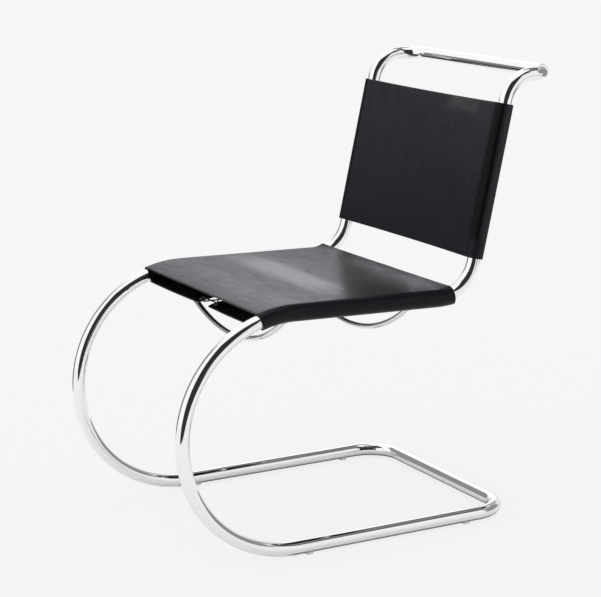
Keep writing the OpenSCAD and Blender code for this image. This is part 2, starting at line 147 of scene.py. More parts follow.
# Node trees
class Tree:
    """Shorthand for building a node tree: most methods add nodes and return an output of the last."""

    def __init__(self, owner):
        owner.use_nodes = True
        self.tree = owner.node_tree
        self.tree.nodes.clear()

    def add(self, kind, **values):
        node = self.tree.nodes.new(kind)
        for name, value in values.items():
            setattr(node, name, value)
        return node

    def feed(self, socket, value):
        if isinstance(value, bpy.types.NodeSocket):
            self.tree.links.new(value, socket)
        elif value is not None:
            socket.default_value = value

    def math(self, operation, a, b=None, c=None):
        node = self.add("ShaderNodeMath", operation=operation)
        for socket, value in zip(node.inputs, (a, b, c)):
            self.feed(socket, value)
        return node.outputs[0]

    def ramp(self, value, low, high, to_low=0.0, to_high=1.0):
        """Runs smoothly from to_low to to_high while value runs from low to high."""
        node = self.add("ShaderNodeMapRange", interpolation_type="SMOOTHSTEP")
        for name, v in (("Value", value), ("From Min", low), ("From Max", high),
                        ("To Min", to_low), ("To Max", to_high)):
            self.feed(node.inputs[name], v)
        return node.outputs["Result"]

    def times(self, first, *more):
        for value in more:
            first = self.math("MULTIPLY", first, value)
        return first

    def window(self, value, low, high, soft):
        """1 between low and high, with soft edges."""
        return self.times(self.ramp(value, low - soft, low + soft),
                          self.ramp(value, high - soft, high + soft, 1.0, 0.0))

    def split(self, vector):
        node = self.add("ShaderNodeSeparateXYZ")
        self.feed(node.inputs[0], vector)
        return node.outputs

    def azimuth(self, x, y):
        return self.math("MULTIPLY", self.math("ARCTAN2", y, x), 180 / math.pi)

    def mix(self, factor, a, b):
        node = self.add("ShaderNodeMix", data_type="RGBA")
        self.feed(node.inputs["Factor"], factor)
        self.feed(node.inputs[6], a)
        self.feed(node.inputs[7], b)
        return node.outputs[2]

    def blend(self, factor, a, b):
        node = self.add("ShaderNodeMix", data_type="FLOAT")
        self.feed(node.inputs["Factor"], factor)
        self.feed(node.inputs[2], a)
        self.feed(node.inputs[3], b)
        return node.outputs[0]

    def coords(self, scale=(1, 1, 1)):
        where = self.add("ShaderNodeTexCoord").outputs["Object"]
        node = self.add("ShaderNodeMapping")
        self.feed(node.inputs["Vector"], where)
        self.feed(node.inputs["Scale"], scale)
        return node.outputs[0]

    def noise(self, vector, scale, detail=2.0, roughness=0.5, distortion=0.0):
        node = self.add("ShaderNodeTexNoise")
        for name, v in (("Vector", vector), ("Scale", scale), ("Detail", detail),
                        ("Roughness", roughness), ("Distortion", distortion)):
            self.feed(node.inputs[name], v)
        return node.outputs[0]

    def bump(self, height, strength, distance, normal=None):
        node = self.add("ShaderNodeBump")
        for name, v in (("Height", height), ("Strength", strength), ("Distance", distance),
                        ("Normal", normal)):
            self.feed(node.inputs[name], v)
        return node.outputs[0]

    def output(self, shader, kind="ShaderNodeOutputMaterial"):
        self.tree.links.new(shader.outputs[0], self.add(kind).inputs[0])

    def surface(self, **values):
        """A Principled shader to the output; values by input name, with _ for a space."""
        node = self.add("ShaderNodeBsdfPrincipled")
        for name, value in values.items():
            self.feed(node.inputs[name.replace("_", " ")], value)
        self.output(node)


def material(name):
    made = bpy.data.materials.new(name)
    return made, Tree(made)


# Camera: the view of the photograph
SENSOR_W, FOCAL_PX, PHOTO_W = 36.0, 2083.155, 601


def make_camera():
    data = bpy.data.cameras.new("Camera")
    data.sensor_width = SENSOR_W
    data.lens = FOCAL_PX / PHOTO_W * SENSOR_W
    data.clip_start, data.clip_end = 0.05, 100.0
    cam = bpy.data.objects.new("Camera", data)
    bpy.context.scene.collection.objects.link(cam)
    right = Vector((0.4625392412, 0.8863718481, -0.0200598388))
    down = Vector((0.1808642195, -0.1164826633, -0.9765858504))
    ahead = Vector((-0.8679548285, 0.4480811712, -0.2141907553))
    turned = Matrix((right, -down, -ahead)).transposed()
    cam.matrix_world = Matrix.Translation((3.23097391, -1.68772007, 1.18705069)) @ turned.to_4x4()
    bpy.context.scene.camera = cam


# Studio
BACKDROP = 0.925
FLOOR_WHITE = 0.90
SHADOW = 0.13  # share of the chair's shadow that the camera sees on the floor
# Patches of the studio that mirroring surfaces see: (azimuths, elevations, shade, softness), in degrees
PATCHES = (
    ((-142, -60), (-90, 90), 1.0, 3.0),
    ((50, 104), (-14, 42), 0.26, 5.0),
    ((100, 142), (22, 42), 0.42, 5.0),
    ((-173, -133), (-6, 46), 0.26, 3.5),
    ((22, 150), (45, 66), 0.20, 2.5),
    ((24, 148), (49, 54), 0.05, 1.5),
    ((8, 35), (37, 60), 0.04, 3.0),
    ((-58, 14), (-90, 59), 0.028, 2.5),
)
# Sectors of the floor that they see: (azimuths, distances over which it sets in, shade)
SECTORS = (
    ((-190, -134), 1.1, 1.25, 0.03), ((-190, -134), 1.95, 2.15, 0.2), ((-61, 9), 1.35, 1.6, 0.03),
    ((66, 106), 1.4, 1.9, 0.28), ((14, 66), 2.3, 2.5, 0.05), ((14, 66), 2.9, 3.1, BACKDROP),
)
SECTOR_SOFT, SECTOR_WRAP = 5.0, (172, 178)
# The wall straight behind the chair, and its bluish part: (from, to, softness), in degrees
BEHIND_SIDE, BEHIND_LEVEL = (138, 176, 4.0), (-60, 43, 3.0)
BLUE_SIDE, BLUE = (138, 174, 5.0), 0.05
FLOOR_HALF, FLOOR_FADE = 40.0, (0.9, 4.0)
# The painted shadow under the base tubes, seen only in reflections: distances over which it fades, shade,
# share and length of its start
PAINTED_SHADOW_FADE, PAINTED_SHADOW_TONE, PAINTED_SHADOW_SHARE, PAINTED_SHADOW_LEAD = (0.009, 0.016), 0.05, 0.9, 0.04
CARD_R, CARD_Z, CARD_SIDES = 0.80, (0.93, 1.9), range(-200, -131, 2)


def make_world():
    """White to the camera and as light. Mirroring surfaces see white walls with grey and dark patches."""
    world = bpy.data.worlds.new("Studio")
    bpy.context.scene.world = world
    t = Tree(world)
    x, y, z = t.split(t.add("ShaderNodeTexCoord").outputs["Generated"])
    azimuth = t.azimuth(x, y)
    level = t.math("MULTIPLY", t.math("ARCSINE", z), 180 / math.pi)

    # Pale walls, whiter overhead. Straight behind the chair the wall is grey, with a bright one above it
    light = t.blend(t.ramp(level, 10, 50), 0.84, 1.0)
    behind = t.blend(t.ramp(level, 7.6, 12.0), 0.52, 1.28)
    behind = t.blend(t.ramp(level, -3.0, 4.0, 1.0, 0.0), behind, 0.95)
    cover = t.times(t.window(azimuth, *BEHIND_SIDE), t.window(level, *BEHIND_LEVEL))
    light = t.blend(cover, light, behind)
    for sides, levels, tone, soft in PATCHES:
        cover = t.times(t.window(azimuth, *sides, soft), t.window(level, *levels, soft))
        light = t.blend(cover, light, tone)
    path = t.add("ShaderNodeLightPath")
    shade = t.blend(path.outputs["Is Camera Ray"], 1.0, BACKDROP)
    shade = t.blend(path.outputs["Is Transmission Ray"], shade, BACKDROP)
    shade = t.blend(path.outputs["Is Glossy Ray"], shade, light)
    background = t.add("ShaderNodeBackground")
    blue = t.times(path.outputs["Is Glossy Ray"], t.window(azimuth, *BLUE_SIDE), BLUE)
    tint = t.add("ShaderNodeCombineColor")
    for socket, share in zip(tint.inputs, (-0.4, -0.2, 1.0)):
        t.feed(socket, t.math("MULTIPLY", shade, t.math("MULTIPLY_ADD", blue, share, 1.0)))
    t.feed(background.inputs["Color"], tint.outputs[0])
    t.output(background, "ShaderNodeOutputWorld")


def make_floor():
    """A pale floor that keeps the shadow near the chair and turns into the backdrop far from it."""
    made, t = material("StudioFloor")
    where = t.add("ShaderNodeTexCoord").outputs["Object"]
    length = t.add("ShaderNodeVectorMath", operation="LENGTH")
    t.feed(length.inputs[0], where)
    far = t.ramp(length.outputs["Value"], *FLOOR_FADE)
    path = t.add("ShaderNodeLightPath")
    x, y, _ = t.split(where)
    azimuth = t.azimuth(x, y)

    # What the floor is to a mirroring surface far from the chair
    cover, shade = 0.0, BACKDROP
    for sides, near, end, tone in SECTORS:
        share = t.window(azimuth, *sides, SECTOR_SOFT)
        if sides[0] < -180:  # it goes on at the other end of the scale
            share = t.math("MAXIMUM", share, t.ramp(azimuth, *SECTOR_WRAP))
        share = t.times(share, t.ramp(length.outputs["Value"], near, end))
        shade = t.blend(share, shade, tone)
        cover = t.math("MAXIMUM", cover, share)
    # A painted shadow right under the base tubes, seen only by mirroring rays, which shows along the tubes'
    # lower edges
    aside = t.math("MAXIMUM", t.math("SUBTRACT", t.math("ABSOLUTE", x), SIDE_X - BASE_CORNER_R), 0.0)
    back = t.math("MAXIMUM", t.math("SUBTRACT", y, BASE_L - CENTRE_Y), 0.0)
    reach = t.math("SQRT", t.math("ADD", t.times(aside, aside), t.times(back, back)))
    painted_tube_shadow = t.ramp(t.math("ABSOLUTE", t.math("SUBTRACT", reach, BASE_CORNER_R)), *PAINTED_SHADOW_FADE, 1.0, 0.0)
    painted_tube_shadow = t.times(painted_tube_shadow, t.ramp(y, -CENTRE_Y - PAINTED_SHADOW_LEAD, -CENTRE_Y, 0.0, PAINTED_SHADOW_SHARE))
    shade = t.blend(painted_tube_shadow, shade, PAINTED_SHADOW_TONE)
    cover = t.math("MAXIMUM", cover, painted_tube_shadow)
    lit = t.add("ShaderNodeBsdfDiffuse")
    t.feed(lit.inputs["Color"], (FLOOR_WHITE, FLOOR_WHITE, FLOOR_WHITE * 0.992, 1))
    glow = t.add("ShaderNodeEmission")
    t.feed(glow.inputs["Color"], t.blend(path.outputs["Is Glossy Ray"], BACKDROP, shade))
    both = t.add("ShaderNodeMixShader")
    shown = t.times(t.blend(far, 1 - SHADOW, 1.0), path.outputs["Is Camera Ray"])
    t.feed(both.inputs[0], t.math("MAXIMUM", shown, t.times(path.outputs["Is Glossy Ray"], cover)))
    t.feed(both.inputs[1], lit.outputs[0])
    t.feed(both.inputs[2], glow.outputs[0])
    t.output(both)

    corners = [(x * FLOOR_HALF, y * FLOOR_HALF, 0) for x, y in ((-1, -1), (1, -1), (1, 1), (-1, 1))]
    floor = new_mesh("StudioFloor", corners, [(0, 1, 2, 3)], [made])


def make_card():
    """A white card that only mirroring surfaces see: it ends the studio's grey right side at the top."""
    made, t = material("StudioCard")
    t.output(t.add("ShaderNodeEmission"))
    corners = []
    for a in CARD_SIDES:
        foot = way(a) * CARD_R
        corners += [(*foot, z) for z in CARD_Z]
    faces = [(k, k + 2, k + 3, k + 1) for k in range(0, len(corners) - 2, 2)]
    card = new_mesh("StudioCard", corners, faces, [made])
    card.visible_camera = card.visible_diffuse = card.visible_transmission = card.visible_shadow = False


# Materials
def chrome(name, shade=0.955, rough=0.03):
    """Polished chrome plating: a faint ripple of the polish and a few dull smudges."""
    made, t = material(name)
    where = t.coords()
    smudge = t.noise(where, 26.0, 4.0, 0.6, 0.4)
    ripple = t.noise(where, 160.0, 1.0)
    t.surface(
        Base_Color=(shade, shade, shade * 1.008, 1), Metallic=1.0,
        Roughness=t.ramp(smudge, 0.45, 0.8, rough, rough + 0.05),
        Normal=t.bump(ripple, 0.012, 0.0004))
    return made


def steel(name, colour, rough, streak=(1, 1, 1)):
    """Plain or plated steel with fine machining marks."""
    made, t = material(name)
    marks = t.noise(t.coords(streak), 900.0, 3.0, 0.6)
    blotch = t.noise(t.coords(), 120.0, 3.0)
    t.surface(
        Base_Color=t.mix(t.ramp(blotch, 0.3, 0.75), (*colour, 1), (*[c * 0.82 for c in colour], 1)),
        Metallic=1.0, Roughness=t.ramp(marks, 0.3, 0.7, rough * 0.8, rough * 1.3),
        Normal=t.bump(marks, 0.12, 0.0001))
    return made


def leather(name, base=(0.0045, 0.0039, 0.0062)):
    """Waxed black saddle leather: fine grain, brushed streaks, and a more polished band on the seat."""
    made, t = material(name)
    where = t.coords()
    cells = t.add("ShaderNodeTexVoronoi", feature="SMOOTH_F1")
    t.feed(cells.inputs["Vector"], where)
    t.feed(cells.inputs["Scale"], 1150.0)
    t.feed(cells.inputs["Smoothness"], 0.6)
    pores = t.noise(where, 2600.0, 2.0)
    cloud = t.noise(where, 9.0, 4.0, 0.55, 0.3)
    mottle = t.noise(where, 70.0, 4.0, 0.6)
    strokes = t.noise(t.coords((0.16, 1, 0.4)), 150.0, 4.0, 0.62, 0.25)
    wide = t.noise(t.coords((0.22, 1, 0.6)), 34.0, 3.0, 0.55, 0.2)
    grain = t.math("ADD", t.times(cells.outputs["Distance"], 0.7), t.times(pores, 0.3))

    def tone(share):
        return (*[c * share for c in base], 1)

    colour = t.mix(t.ramp(cloud, 0.3, 0.75), tone(1), tone(1.4))
    colour = t.mix(t.ramp(mottle, 0.45, 0.8, 0.0, 0.35), colour, tone(2.2))
    x, y, z = t.split(where)
    aside = t.math("ABSOLUTE", x)
    over_seat = t.ramp(z, 0.50, 0.52)
    # The face of the back is a little paler, in fine strokes
    upright = t.math("ADD", t.noise(t.coords((1, 0.3, 0.45)), 130.0, 5.0, 0.68, 0.5),
                     t.times(t.math("ADD", strokes, cloud), 0.45))
    pale = t.mix(t.ramp(upright, 0.65, 1.25), tone(2.4), tone(4.6))
    colour = t.mix(t.times(t.ramp(z, 0.45, 0.47), t.ramp(z, 0.50, 0.72, 0.45, 0.95)), colour, pale)
    # Its folds round the tubes get painted shade, darker, with a painted highlight, paler, on their outer
    # side
    painted_fold_shade = t.times(over_seat, t.ramp(aside, 0.217, 0.226), t.ramp(aside, 0.240, 0.2432, 1.0, 0.0))
    colour = t.mix(painted_fold_shade, colour, tone(0.4))
    # painted highlight: a paler, bluish strip along the outer side of each fold
    colour = t.mix(t.times(over_seat, t.ramp(aside, 0.2410, 0.2434)), colour, (0.0150, 0.0145, 0.0170, 1))
    # One spot near its top edge is painted pale: a painted sheen in the colour
    painted_sheen = t.times(t.ramp(x, 0.03, 0.10), t.ramp(x, 0.14, 0.20, 1.0, 0.0),
                     t.ramp(z, BACK_TOP - 0.034, BACK_TOP - 0.008), t.ramp(strokes, 0.3, 0.7, 0.3, 0.9))
    colour = t.mix(painted_sheen, colour, (0.050, 0.049, 0.052, 1))

    # The polished band across the seat
    along = t.math("SUBTRACT", t.math("ADD", y, t.ramp(wide, 0.2, 0.8, -0.007, 0.007)), BAND_Y)
    band = t.times(t.ramp(along, -0.052, -0.006), t.ramp(along, 0.012, 0.050, 1.0, 0.0),
                   t.ramp(x, -0.225, -0.09, 0.25, 1.0), t.ramp(x, 0.09, 0.215, 1.0, 0.15),
                   t.ramp(z, 0.425, 0.430))
    polish = t.times(band, t.ramp(strokes, 0.25, 0.6, 0.75, 1.0))
    # The front's near side and the upper part of the back are a little glossier too
    front = t.times(t.ramp(along, -0.16, -0.05, 0.55, 0.0), t.ramp(x, -0.15, 0.2))
    flecks = t.noise(where, 24.0, 5.0, 0.6, 0.4)
    upper = t.times(t.ramp(z, 0.50, 0.70), t.ramp(flecks, 0.3, 0.7, 0.25, 0.9))
    polish = t.math("MAXIMUM", polish, t.math("ADD", front, upper))
    coat = t.math("ADD", t.ramp(strokes, 0.3, 0.75, 0.38, 0.24), t.times(polish, 0.62))
    # The far side of the seat's rear and the folds of the back are duller
    rear = t.times(t.ramp(y, -0.02, 0.08), t.ramp(x, -0.17, 0.05, 0.75, 0.0),
                   t.math("SUBTRACT", 1.0, over_seat))
    dull = t.math("MAXIMUM", rear, t.times(painted_fold_shade, 0.9))
    coat = t.times(coat, t.math("SUBTRACT", 1.0, dull))
    rough = t.math("ADD", t.ramp(cloud, 0.25, 0.8, 0.31, 0.38), t.ramp(strokes, 0.3, 0.75, -0.04, 0.05))
    rough = t.math("SUBTRACT", rough, t.times(band, 0.10))
    normal = t.bump(grain, 0.30, 0.0003)
    normal = t.bump(strokes, 0.12, 0.0003, normal)
    t.surface(Base_Color=colour, Roughness=rough, IOR=1.2, Specular_IOR_Level=0.5, Normal=normal,
              Coat_Weight=coat, Coat_IOR=1.2, Coat_Roughness=0.2, Coat_Normal=t.bump(wide, 0.10, 0.0006))
    return made


def raw_edge(name):
    """The cut edge of the leather: dyed fibres, a little browner and drier than the face."""
    made, t = material(name)
    fibre = t.noise(t.coords(), 1500.0, 4.0, 0.7)
    t.surface(
        Base_Color=t.mix(t.ramp(fibre, 0.3, 0.75), (0.016, 0.014, 0.011, 1), (0.055, 0.047, 0.036, 1)),
        Roughness=t.ramp(fibre, 0.3, 0.7, 0.55, 0.8), Specular_IOR_Level=0.3,
        Normal=t.bump(fibre, 0.5, 0.0003))
    return made


def waxed_cord(name):
    """Black waxed cord with the slant of its twist."""
    made, t = material(name)
    where = t.coords()
    wave = t.add("ShaderNodeTexWave", wave_type="BANDS", bands_direction="DIAGONAL")
    t.feed(wave.inputs["Vector"], where)
    t.feed(wave.inputs["Scale"], 260.0)
    t.feed(wave.inputs["Distortion"], 1.2)
    strand = wave.outputs["Fac"]
    fuzz = t.noise(where, 1800.0, 3.0, 0.7)
    t.surface(
        Base_Color=t.mix(strand, (0.012, 0.012, 0.012, 1), (0.035, 0.034, 0.033, 1)),
        Roughness=t.ramp(fuzz, 0.3, 0.7, 0.42, 0.62), Specular_IOR_Level=0.4,
        Normal=t.bump(fuzz, 0.2, 0.0002, t.bump(strand, 0.6, 0.0004)))
    return made


def clear_plastic(name):
    """Clear glide, a little milky and scuffed."""
    made, t = material(name)
    scuff = t.noise(t.coords(), 500.0, 4.0, 0.65)
    t.surface(
        Base_Color=t.mix(t.ramp(scuff, 0.5, 0.8), (0.95, 0.95, 0.95, 1), (0.88, 0.88, 0.89, 1)),
        Roughness=t.ramp(scuff, 0.35, 0.75, 0.12, 0.4), IOR=1.49, Transmission_Weight=0.35,
        Normal=t.bump(scuff, 0.1, 0.0001))
    return made


# Meshes
def new_mesh(name, points, faces, materials=(), smooth_angle=35.0):
    mesh = bpy.data.meshes.new(name)
    mesh.from_pydata([tuple(p) for p in points], [], faces)
    mesh.validate()
    for made in materials:
        mesh.materials.append(made)
    obj = bpy.data.objects.new(name, mesh)
    bpy.context.scene.collection.objects.link(obj)
    smooth(obj, smooth_angle)
    return obj


def smooth(obj, angle):
    obj.data.shade_smooth()
    obj.data.set_sharp_from_angle(angle=math.radians(angle))


def joined(parts):
    """One list of points and faces from several."""
    points, faces = [], []
    for more_points, more_faces in parts:
        at = len(points)
        points += more_points
        faces += [tuple(at + i for i in face) for face in more_faces]
    return points, faces


def cut(obj, parts, smooth_angle=35.0):
    """Takes closed shapes out of a piece, and keeps the result as its mesh."""
    cutter = new_mesh("Cutter", *joined(parts))
    step = obj.modifiers.new("Cut", "BOOLEAN")
    step.operation, step.solver, step.object = "DIFFERENCE", "EXACT", cutter
    bpy.context.view_layer.update()
    done = obj.evaluated_get(bpy.context.evaluated_depsgraph_get())
    mesh = bpy.data.meshes.new_from_object(done)
    obj.modifiers.clear()
    obj.data = mesh
    bpy.data.objects.remove(cutter)
    smooth(obj, smooth_angle)


def keep(obj, slot, *nodes):
    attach(obj, BODY)
    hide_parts(*nodes)


def frames(route, first_up):
    """Two directions square to the route at each point, turning as little as they can."""
    up, out = Vector(first_up), []
    for i in range(len(route)):
        ahead = (route[min(i + 1, len(route) - 1)] - route[max(i - 1, 0)]).normalized()
        up = (up - ahead * up.dot(ahead)).normalized()
        out.append((up, ahead.cross(up)))
    return out


def skin(rings, sides, flip=False):
    """Faces between rings of points."""
    faces = []
    for i in range(rings - 1):
        for k in range(sides):
            a, b = i * sides + k, i * sides + (k + 1) % sides
            face = (a, b, b + sides, a + sides)
            faces.append(tuple(reversed(face)) if flip else face)
    return faces


def rod(route, radii, sides, first_up, wave=None):
    """A closed round rod along a route. wave changes the radius by the ring and the angle."""
    points = []
    for i, (p, (up, side)) in enumerate(zip(route, frames(route, first_up))):
        for k in range(sides):
            a = 2 * math.pi * k / sides
            r = radii[i] * (wave(i, a) if wave else 1)
            points.append(p + r * (math.cos(a) * up + math.sin(a) * side))
    faces = skin(len(route), sides)
    faces.append(tuple(reversed(range(sides))))
    faces.append(tuple(range((len(route) - 1) * sides, len(route) * sides)))
    return points, faces


def pipe(route, radii, bore, sides, first_up):
    """A tube with its bore, open at both ends."""
    outer, inner = [], []
    for p, r, (up, side) in zip(route, radii, frames(route, first_up)):
        for k in range(sides):
            a = 2 * math.pi * k / sides
            across = math.cos(a) * up + math.sin(a) * side
            outer.append(p + r * across)
            inner.append(p + bore * across)
    n, count = len(route), len(outer)
    faces = skin(n, sides) + [tuple(count + i for i in f) for f in skin(n, sides, True)]
    for k in range(sides):
        j = (k + 1) % sides
        last = (n - 1) * sides
        faces.append((k, count + k, count + j, j))
        faces.append((last + k, last + j, count + last + j, count + last + k))
    return outer + inner, faces


def lathe(profile, sides, matrix):
    """A closed turned shape: profile goes round its section as (radius, height), off the axis."""
    n, points, faces = len(profile), [], []
    for k in range(sides):
        a = 2 * math.pi * k / sides
        for r, h in profile:
            points.append(matrix @ Vector((r * math.cos(a), r * math.sin(a), h)))
        for i in range(n):
            a0, b0 = k * n + i, k * n + (i + 1) % n
            a1, b1 = ((k + 1) % sides) * n + i, ((k + 1) % sides) * n + (i + 1) % n
            faces.append((a0, a1, b1, b0))
    return points, faces


def prism(outline, low, high, matrix):
    """A closed prism over a convex outline of (x, y), between two heights."""
    n = len(outline)
    points = [matrix @ Vector((x, y, h)) for h in (low, high) for x, y in outline]
    faces = [(i, (i + 1) % n, n + (i + 1) % n, n + i) for i in range(n)]
    faces += [tuple(reversed(range(n))), tuple(range(n, 2 * n))]
    return points, faces


def spindle(profile, sides, matrix):
    """A solid turned shape, as a stack of discs: profile runs along the axis as (radius, height)."""
    n = len(profile)
    angles = [2 * math.pi * k / sides for k in range(sides)]
    points = [matrix @ Vector((r * math.cos(a), r * math.sin(a), h)) for r, h in profile for a in angles]
    faces = skin(n, sides)
    faces += [tuple(reversed(range(sides))), tuple(range((n - 1) * sides, n * sides))]
    return points, faces


def pin(radius, low, high, sides, matrix):
    return spindle([(radius, low), (radius, high)], sides, matrix)


def at_station(s, x=0.0, h=0.0, tilt=0.0):
    """The frame of part of the side tube: X across, Y along it, Z away from its axis."""
    along, over = math.radians(heading(s)), math.radians(tilt)
    turned = Matrix.Rotation(along, 4, "X") @ Matrix.Rotation(over, 4, "Y")
    return Matrix.Translation(spot(x, s, h)) @ turned


# Frame tubes and spreader bars
def arc(centre, radius, start, end, step=2.0):
    n = math.ceil(abs(end - start) / step)
    return [centre + radius * way(start + (end - start) * i / n) for i in range(n + 1)]


def side_view(points, x=SIDE_X):
    return [Vector((x, p[0] - CENTRE_Y, p[1])) for p in points]


def straight(a, b, near=()):
    """Points from a to b, with one at each distance from a that near names."""
    return [a] + [a.lerp(b, d / (b - a).length) for d in near] + [b]


def half_frame():
    """Centreline of one half of the frame, from the middle of the base to the middle of the top."""
    route = straight(Vector((0, BASE_REAR, BASE_Z)), Vector((SIDE_X - BASE_CORNER_R, BASE_REAR, BASE_Z)),
                     JOINT_ROWS)
    corner = Vector((SIDE_X - BASE_CORNER_R, BASE_L))
    route += [Vector((p[0], p[1] - CENTRE_Y, BASE_Z)) for p in arc(corner, BASE_CORNER_R, 90, 0)]
    route += side_view(arc(hoop_centre, HOOP_R, 270, 90 - SEAT_SLOPE))
    route += side_view(arc(bend_centre, BACK_BEND_R, -90 - SEAT_SLOPE, -RECLINE))
    route += side_view(arc(top_centre, TOP_BEND_R, 180 - RECLINE, 90 + TOP_RISE))
    ahead = Vector((0, *way(TOP_RISE)))
    centre = side_view([top_end], SIDE_X - TOP_CORNER_R)[0]
    route += [centre + TOP_CORNER_R * (way(a)[0] * Vector((1, 0, 0)) + way(a)[1] * ahead)
              for a in range(0, 91, 2)]
    rail = side_view([top_rail], 0)[0]
    route += straight(rail + Vector((SIDE_X - TOP_CORNER_R, 0, 0)), rail,
                      [SIDE_X - TOP_CORNER_R - d for d in reversed(JOINT_ROWS)])
    return [p for p, before in zip(route, [None] + route) if before is None or (p - before).length > 1e-6]


def mirrored(parts):
    points, faces = parts
    return [Vector((-p[0], p[1], p[2])) for p in points], [tuple(reversed(f)) for f in faces]


def countersink(shank, head, reach, tip):
    return [(shank, tip), (shank, reach - head + shank), (head, reach), (head, TUBE_R + OVER)]


def make_frame():
    route = half_frame()
    radii = [TUBE_R] * len(route)
    radii[0] = radii[-1] = TUBE_R - JOINT_CHAMFER
    tube = pipe(route, radii, BORE_R, TUBE_SIDES, (0, 0, 1))
    shank, head = SCREW_R + SCREW_SLACK, SCREW_R * HEAD_SHARE + SCREW_SLACK
    reach = math.sqrt(TUBE_R ** 2 - (SCREW_R * HEAD_SHARE) ** 2) - SCREW_SLACK
    down = Matrix.Rotation(math.pi, 4, "X")
    holes = [spindle(countersink(shank, head, reach, -TUBE_R - OVER), SCREW_SIDES,
                     at_station(s, SIDE_X, 0, 90 - BAR_DIP)) for s in (FRONT_BAR_STATION, REAR_BAR_STATION)]
    rails = [Vector((JOINT_SCREW_X, BASE_REAR, BASE_Z)), side_view([top_rail], JOINT_SCREW_X)[0]]
    holes += [spindle(countersink(shank, head, reach, 0), SCREW_SIDES, Matrix.Translation(p) @ down)
              for p in rails]
    holes += [pin(PEG_R, -TUBE_R - OVER, 0, PEG_SIDES, Matrix.Translation((SIDE_X, y - CENTRE_Y, BASE_Z)))
              for y in (GLIDE_INSET, BASE_L - GLIDE_INSET)]
    for name, node, flip in (("LeftFrameTube", "left_frame_tube", False),
                             ("RightFrameTube", "right_frame_tube", True)):
        body = new_mesh(name, *(mirrored(tube) if flip else tube), [shown["chromed_tube"]])
        cut(body, [mirrored(h) if flip else h for h in holes], 30)
        keep(body, "chromed_tube", node)


def bar_arc():
    """Radius of a bar's arc, and the height of its centre over the axes of the side tubes."""
    dip = math.radians(BAR_DIP)
    radius = (SIDE_X - TUBE_R * math.cos(dip)) / math.sin(dip)
    return radius, radius * math.cos(dip) - TUBE_R * math.sin(dip)


def make_bars():
    arc_r, centre_h = bar_arc()
    sweep = BAR_DIP + turn(TUBE_R / 2, arc_r)
    for name, node, s in (("FrontSpreaderBar", "front_spreader_bar", FRONT_BAR_STATION),
                          ("RearSpreaderBar", "rear_spreader_bar", REAR_BAR_STATION)):
        angles = [-90 - sweep + 2 * sweep * i / BAR_STEPS for i in range(BAR_STEPS + 1)]
        route = [at_station(s) @ Vector((arc_r * way(a)[0], 0, centre_h + arc_r * way(a)[1]))
                 for a in angles]
        body = rod(route, [BAR_R] * len(route), BAR_SIDES, (0, 1, 0))
        bar = new_mesh(name, *body, [shown["chromed_bar"]])
        seats = [pin(TUBE_R + BAR_SEAT_GAP, -2 * BAR_R, 2 * BAR_R, TUBE_SIDES,
                     at_station(s, side * SIDE_X) @ Matrix.Rotation(math.pi / 2, 4, "X"))
                 for side in (1, -1)]
        holes = [pin(SCREW_R + SCREW_SLACK, -TUBE_R - BAR_GRIP - OVER, -TUBE_R + 2 * OVER, BAR_SCREW_SIDES,
                     at_station(s, side * SIDE_X, 0, side * (90 - BAR_DIP))) for side in (1, -1)]
        cut(bar, seats, 30)
        cut(bar, holes, 30)
        keep(bar, "chromed_bar", node)


# Leather slings
def spread(low, high, step):
    """Values from low to high, close together at both ends, where a cut edge is rounded."""
    edge = EDGE_STEPS[-1]
    n = max(1, round((high - low - 2 * edge) / step))
    inner = [low + edge + (high - low - 2 * edge) * i / n for i in range(n + 1)]
    return [low + d for d in EDGE_STEPS[:-1]] + inner + [high - d for d in reversed(EDGE_STEPS[:-1])]


def section():
    """Half the sling's section, from the edge of a flap to the middle of the sheet, as
    (x, height, direction out of the leather as (x, height), distance from the flap's edge)."""
    mid, edge = -FLAP_H, EDGE_STEPS[-1]
    rows = [(SIDE_X - FLAP_L + d, -mid, (0.0, -1.0), d)
            for d in EDGE_STEPS + [edge + (FLAP_L - edge) * i / FLAP_ROWS for i in range(1, FLAP_ROWS)]]
    for i in range(WRAP_ROWS + 1):
        out = way(-90 + 180 * i / WRAP_ROWS)
        rows.append((SIDE_X + mid * out[0], mid * out[1], (out[0], out[1]),
                     FLAP_L + math.pi * mid * i / WRAP_ROWS))
    rows += [(SIDE_X * (1 - i / SHEET_ROWS), mid, (0.0, 1.0),
              FLAP_L + math.pi * mid + SIDE_X * i / SHEET_ROWS) for i in range(1, SHEET_ROWS + 1)]
    return rows


def half_thickness(d):
    """Half the leather's thickness at a distance from its cut edge, which is slightly rounded."""
    d = min(d, EDGE_ROUND)
    return LEATHER_T / 2 - EDGE_ROUND + math.sqrt(EDGE_ROUND ** 2 - (EDGE_ROUND - d) ** 2)


